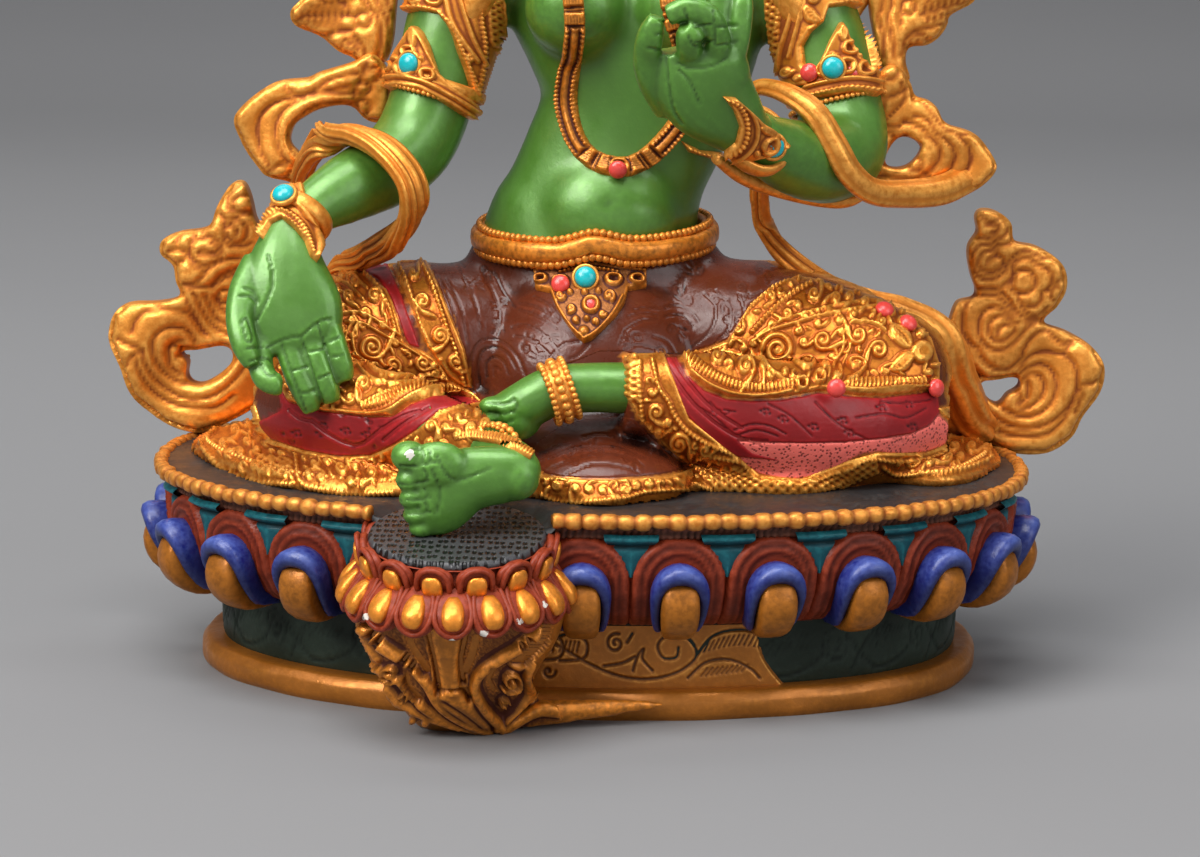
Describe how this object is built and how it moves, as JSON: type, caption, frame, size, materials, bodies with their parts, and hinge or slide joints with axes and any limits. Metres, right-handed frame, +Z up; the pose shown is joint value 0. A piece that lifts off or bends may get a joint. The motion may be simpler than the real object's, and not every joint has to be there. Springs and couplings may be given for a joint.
{
  "type": "tara figure",
  "caption": "Small painted and gilded seated tara figure on an oval lotus throne, right foot on its own small lotus, for a shelf or altar.",
  "frame": {"origin": "centre of the throne's flat underside", "axes": "+Z up, the figure looks along -Y, its left side is towards +X"},
  "size_m": [0.1938, 0.1339, 0.2041],
  "materials": {
    "gold_paint": "hand-brushed metallic gold over cast resin, red-brown wash left in the recesses",
    "green_skin_paint": "satin pearl green, smooth, with olive shading in the creases",
    "brown_cloth_paint": "glossy dark brown over engraved scrolls",
    "red_cloth_paint": "satin deep red over pricked and engraved cloth",
    "rust_petal_paint": "satin rust red with dark lines in the grooves",
    "blue_petal_paint": "cobalt blue dry-brushed paler on the crowns",
    "teal_leaf_paint": "dark teal, satin",
    "black_seat_paint": "near black, satin, over a lightly engraved top",
    "dark_green_paint": "dark green, matt, over engraved scrolls",
    "hair_paint": "dark blue hair, satin",
    "turquoise": "polished cabochon",
    "coral": "polished cabochon"
  },
  "bodies": {
    "root": {"lotus_throne": "rust_petal_paint", "tara_figure": "gold_paint", "turquoise_right_armlet": "turquoise", "turquoise_right_bracelet": "turquoise", "turquoise_left_armlet": "turquoise", "coral_left_armlet_inner": "coral", "coral_left_armlet_outer": "coral", "turquoise_left_bracelet": "turquoise", "coral_necklace": "coral", "turquoise_girdle": "turquoise", "coral_girdle_side": "coral", "coral_girdle_low": "coral", "coral_knee_front": "coral", "coral_knee_outer": "coral", "coral_knee_top": "coral", "coral_knee_top_outer": "coral"}
  },
  "joints": []
}
